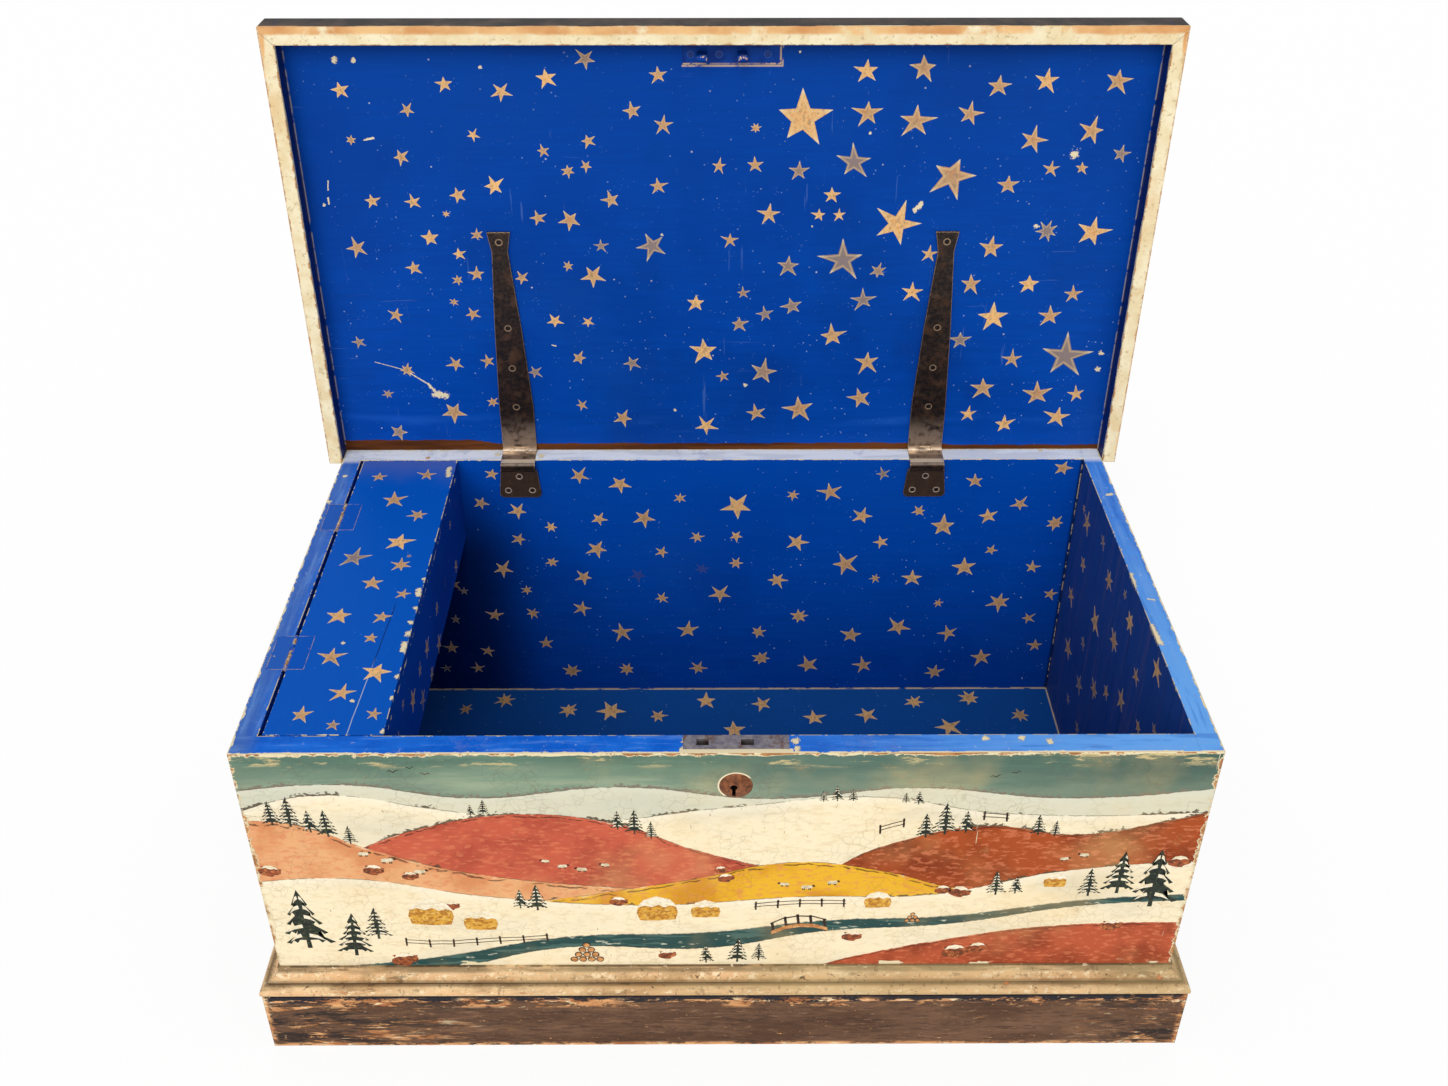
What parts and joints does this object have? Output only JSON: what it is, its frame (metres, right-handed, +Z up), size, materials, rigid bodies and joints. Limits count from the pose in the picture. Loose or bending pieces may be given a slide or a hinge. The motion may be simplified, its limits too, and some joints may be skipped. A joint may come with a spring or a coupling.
{
  "type": "painted chest",
  "caption": "Wooden storage chest with a strap-hinged lid, a lidded candle box inside, a let-in lock, a moulded plinth and drop handles.",
  "frame": {"origin": "middle of the chest's plan, on the floor under the plinth", "axes": "+X to the right of someone at the front, along the chest; +Y to the back; +Z up"},
  "size_m": [0.96, 0.5521, 0.9378],
  "materials": {
    "lid_paint": "old oil paint, satin",
    "lip_paint": "worn dark paint over pine",
    "front_paint": "painted landscape, satin",
    "wall_paint": "old oil paint, satin",
    "floor_paint": "old oil paint, satin",
    "till_paint": "old oil paint, satin",
    "plinth_paint": "worn dark paint over pine",
    "moulding_paint": "worn cream paint",
    "bare_pine": "bare aged pine",
    "hinge_iron": "dark wrought iron",
    "screw_iron": "dark iron",
    "lock_steel": "worn grey steel",
    "painted_iron": "painted over, worn at the edges",
    "till_hinge_iron": "dark iron",
    "escutcheon_copper": "tarnished copper brown",
    "handle_iron": "dark wrought iron"
  },
  "bodies": {
    "chest": {"front_board": "front_paint", "back_board": "wall_paint", "left_side": "wall_paint", "right_side": "wall_paint", "bottom_board_front": "floor_paint", "bottom_board_middle": "floor_paint", "bottom_board_rear": "floor_paint", "rear_bearer": "bare_pine", "plinth_blocks": "bare_pine", "plinth_front": "plinth_paint", "plinth_left": "plinth_paint", "plinth_right": "plinth_paint", "base_moulding_front": "moulding_paint", "base_moulding_left": "moulding_paint", "base_moulding_right": "moulding_paint", "till_wall": "till_paint", "till_floor": "till_paint", "till_hinge_wall_leaves": "till_hinge_iron", "till_hinge_pins": "till_hinge_iron", "left_hinge_leaf": "hinge_iron", "right_hinge_leaf": "hinge_iron", "left_hinge_pin": "hinge_iron", "right_hinge_pin": "hinge_iron", "hinge_leaf_screws": "screw_iron", "lock_plate": "lock_steel", "lock_screws": "screw_iron", "lock_case": "lock_steel", "lock_spring": "lock_steel", "lock_drill_pin": "lock_steel", "escutcheon": "escutcheon_copper", "left_handle_plate": "handle_iron", "right_handle_plate": "handle_iron", "left_handle_screws": "screw_iron", "right_handle_screws": "screw_iron"},
    "lid": {"lid_board_front": "lid_paint", "lid_board_rear": "lid_paint", "lid_lip_front": "lip_paint", "lid_lip_left": "lip_paint", "lid_lip_right": "lip_paint", "left_strap": "hinge_iron", "right_strap": "hinge_iron", "strap_screws": "screw_iron", "lock_link_plate": "painted_iron", "lock_staples": "painted_iron", "link_plate_screws": "screw_iron"},
    "till_lid": {"till_lid_board": "till_paint", "till_hinge_lid_leaves": "till_hinge_iron"},
    "lock_bolt": {"lock_bolt": "lock_steel"},
    "left_handle": {"left_handle": "handle_iron"},
    "right_handle": {"right_handle": "handle_iron"}
  },
  "joints": [
    {"name": "lid_hinge", "type": "hinge", "parent": "chest", "child": "lid", "pos_m": [0, 0.25115, 0.4105], "axis": [-1, 0, 0], "range_deg": [-90.8, 0]},
    {"name": "till_lid_hinge", "type": "hinge", "parent": "chest", "child": "till_lid", "pos_m": [-0.436, 0, 0.4091], "axis": [0, -1, 0], "range_deg": [0, 110]},
    {"name": "lock_bolt_slide", "type": "slide", "parent": "chest", "child": "lock_bolt", "axis": [-1, 0, 0], "range_m": [0, 0.0095]},
    {"name": "left_handle_pivot", "type": "hinge", "parent": "chest", "child": "left_handle", "pos_m": [-0.472, 0, 0.298], "axis": [0, 1, 0], "range_deg": [0, 95]},
    {"name": "right_handle_pivot", "type": "hinge", "parent": "chest", "child": "right_handle", "pos_m": [0.472, 0, 0.298], "axis": [0, -1, 0], "range_deg": [0, 95]}
  ]
}
